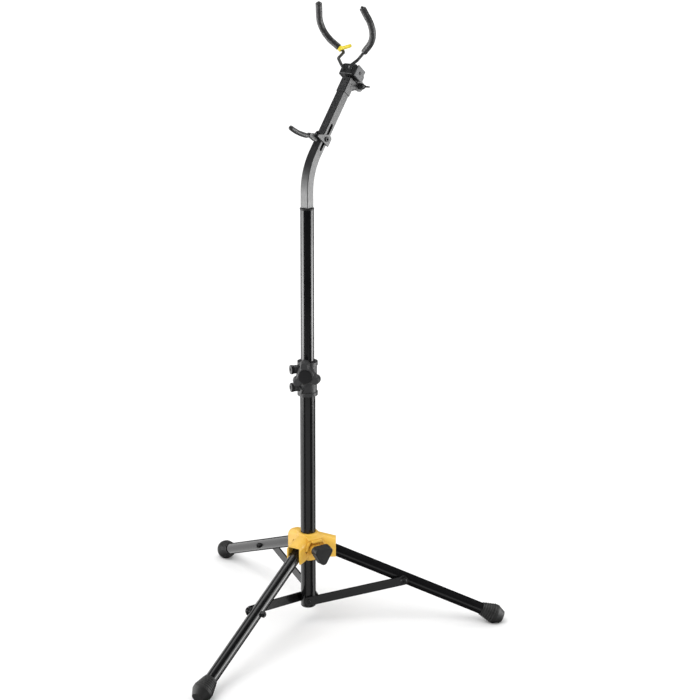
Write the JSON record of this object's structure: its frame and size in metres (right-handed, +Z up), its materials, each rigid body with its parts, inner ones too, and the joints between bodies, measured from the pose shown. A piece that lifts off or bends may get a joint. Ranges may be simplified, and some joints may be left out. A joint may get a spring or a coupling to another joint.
{
  "type": "saxophone stand",
  "caption": "Folding saxophone stand: tripod with braces, telescopic mast, bent slotted neck, body rest and a padded tilting wire yoke with a latch.",
  "frame": {"origin": "centre of the bounding box of the feet at floor level, on the mirror plane of the tripod", "axes": "+Z up along the mast, +X towards one leg's foot, mast at negative X, the other two legs at 120 degrees either side"},
  "size_m": [0.5122, 0.5888, 1.038],
  "materials": {
    "gloss_black": "gloss",
    "satin_black": "satin powder coat",
    "zinc": "satin",
    "black_screw": "satin",
    "hub_yellow": "satin moulded",
    "latch_yellow": "satin moulded",
    "black_plastic": "fine grain",
    "rubber_black": "matt",
    "foam_black": "closed-cell foam"
  },
  "bodies": {
    "base": {"lower_tube": "gloss_black", "tube_end_plug": "black_plastic", "brace_rivets": "black_screw", "clutch_collar": "black_plastic", "clutch_liner": "black_plastic", "clamp_screws": "black_screw", "clutch_nut": "zinc"},
    "hub": {"leg_hub": "hub_yellow", "leg_pins": "black_screw", "hub_nut": "zinc", "hub_pad": "black_plastic"},
    "hub_lock": {"hub_knob": "black_plastic", "hub_knob_stud": "zinc"},
    "leg_right": {"leg_right": "gloss_black", "foot_right": "rubber_black", "leg_bolt_right": "black_screw", "leg_spacer_right": "black_plastic"},
    "strut_right": {"brace_right": "gloss_black", "brace_bolt_right": "black_screw"},
    "leg_rear": {"leg_rear": "gloss_black", "foot_rear": "rubber_black", "leg_bolt_rear": "black_screw", "leg_spacer_rear": "black_plastic"},
    "strut_rear": {"brace_rear": "gloss_black", "brace_bolt_rear": "black_screw"},
    "leg_front": {"leg_front": "gloss_black", "foot_front": "rubber_black", "leg_bolt_front": "black_screw", "leg_spacer_front": "black_plastic"},
    "strut_front": {"brace_front": "gloss_black", "brace_bolt_front": "black_screw"},
    "clutch_lock": {"clutch_knob": "black_plastic", "clutch_knob_cap": "black_plastic", "clutch_knob_stud": "zinc"},
    "glide": {"tube_glide": "black_plastic"},
    "mast": {"upper_tube": "gloss_black", "tube_top_ring": "black_plastic", "neck_spigot": "black_plastic", "neck_tube": "satin_black", "head_socket": "satin_black", "tilt_bolt": "black_screw"},
    "rest": {"rest_bracket": "satin_black", "rest_bolt": "black_screw", "rest_nut": "black_screw", "rest_rod": "satin_black", "rest_ring": "rubber_black", "rest_sleeve": "foam_black"},
    "rest_lock": {"rest_screw": "black_screw"},
    "head": {"tilt_bracket": "zinc", "yoke_block": "black_plastic", "yoke_rivets": "black_screw", "yoke_wire_left": "satin_black", "yoke_wire_right": "satin_black", "yoke_sleeve_left": "foam_black", "yoke_sleeve_right": "foam_black"},
    "latch": {"yoke_latch": "latch_yellow"},
    "wing": {"wing_nut": "black_plastic"}
  },
  "joints": [
    {"name": "hub_slide", "type": "slide", "parent": "base", "child": "hub", "axis": [0, 0, 1], "range_m": [0, 0.2125]},
    {"name": "hub_knob_turn", "type": "hinge", "parent": "hub", "child": "hub_lock", "pos_m": [-0.07984, 0, 0.1435], "axis": [0.5, -0.866, 0], "range_deg": [0, 360]},
    {"name": "leg_right_fold", "type": "hinge", "parent": "hub", "child": "leg_right", "pos_m": [-0.05284, 0, 0.1417], "axis": [0, 1, 0], "range_deg": [0, 64.6]},
    {"name": "brace_right_fold", "type": "hinge", "parent": "base", "child": "strut_right", "pos_m": [-0.07984, 0, 0.044], "axis": [0, -1, 0], "range_deg": [0, 65.4]},
    {"name": "leg_rear_fold", "type": "hinge", "parent": "hub", "child": "leg_rear", "pos_m": [-0.09334, 0.02338, 0.1417], "axis": [-0.866, -0.5, 0], "range_deg": [0, 64.6]},
    {"name": "brace_rear_fold", "type": "hinge", "parent": "base", "child": "strut_rear", "pos_m": [-0.07984, 0, 0.044], "axis": [0.866, 0.5, 0], "range_deg": [0, 65.4]},
    {"name": "leg_front_fold", "type": "hinge", "parent": "hub", "child": "leg_front", "pos_m": [-0.09334, -0.02338, 0.1417], "axis": [0.866, -0.5, 0], "range_deg": [0, 64.6]},
    {"name": "brace_front_fold", "type": "hinge", "parent": "base", "child": "strut_front", "pos_m": [-0.07984, 0, 0.044], "axis": [-0.866, 0.5, 0], "range_deg": [0, 65.4]},
    {"name": "clutch_knob_turn", "type": "hinge", "parent": "base", "child": "clutch_lock", "pos_m": [-0.07984, 0, 0.4505], "axis": [-0.0872, -0.9962, 0], "range_deg": [0, 360]},
    {"name": "mast_slide", "type": "slide", "parent": "base", "child": "glide", "axis": [0, 0, 1], "range_m": [-0.235, 0.085]},
    {"name": "mast_turn", "type": "hinge", "parent": "glide", "child": "mast", "pos_m": [-0.07984, 0, 0.5], "axis": [0, 0, 1], "continuous": true},
    {"name": "rest_slide", "type": "slide", "parent": "mast", "child": "rest", "axis": [0.39, 0.4817, 0.7848], "range_m": [-0.018, 0.025]},
    {"name": "rest_screw_turn", "type": "hinge", "parent": "rest", "child": "rest_lock", "pos_m": [-0.05553, 0.03002, 0.82926], "axis": [-0.4939, -0.6099, 0.6198], "range_deg": [0, 360]},
    {"name": "head_tilt", "type": "hinge", "parent": "mast", "child": "head", "pos_m": [-0.00186, 0.0963, 0.90335], "axis": [-0.7771, 0.6293, 0], "range_deg": [0, 110]},
    {"name": "latch_turn", "type": "hinge", "parent": "head", "child": "latch", "pos_m": [-0.02064, 0.10378, 0.9569], "axis": [-0.7535, 0.2504, 0.6079], "range_deg": [0, 150]},
    {"name": "wing_turn", "type": "hinge", "parent": "mast", "child": "wing", "pos_m": [-0.00186, 0.0963, 0.90335], "axis": [0.7771, -0.6293, 0], "range_deg": [0, 360]}
  ],
  "couplings": [
    {"joint": "leg_right_fold", "follows": "hub_slide", "rad_per_m": 5.2876},
    {"joint": "brace_right_fold", "follows": "hub_slide", "rad_per_m": 5.3566},
    {"joint": "leg_rear_fold", "follows": "hub_slide", "rad_per_m": 5.2876},
    {"joint": "brace_rear_fold", "follows": "hub_slide", "rad_per_m": 5.3566},
    {"joint": "leg_front_fold", "follows": "hub_slide", "rad_per_m": 5.2876},
    {"joint": "brace_front_fold", "follows": "hub_slide", "rad_per_m": 5.3566}
  ]
}
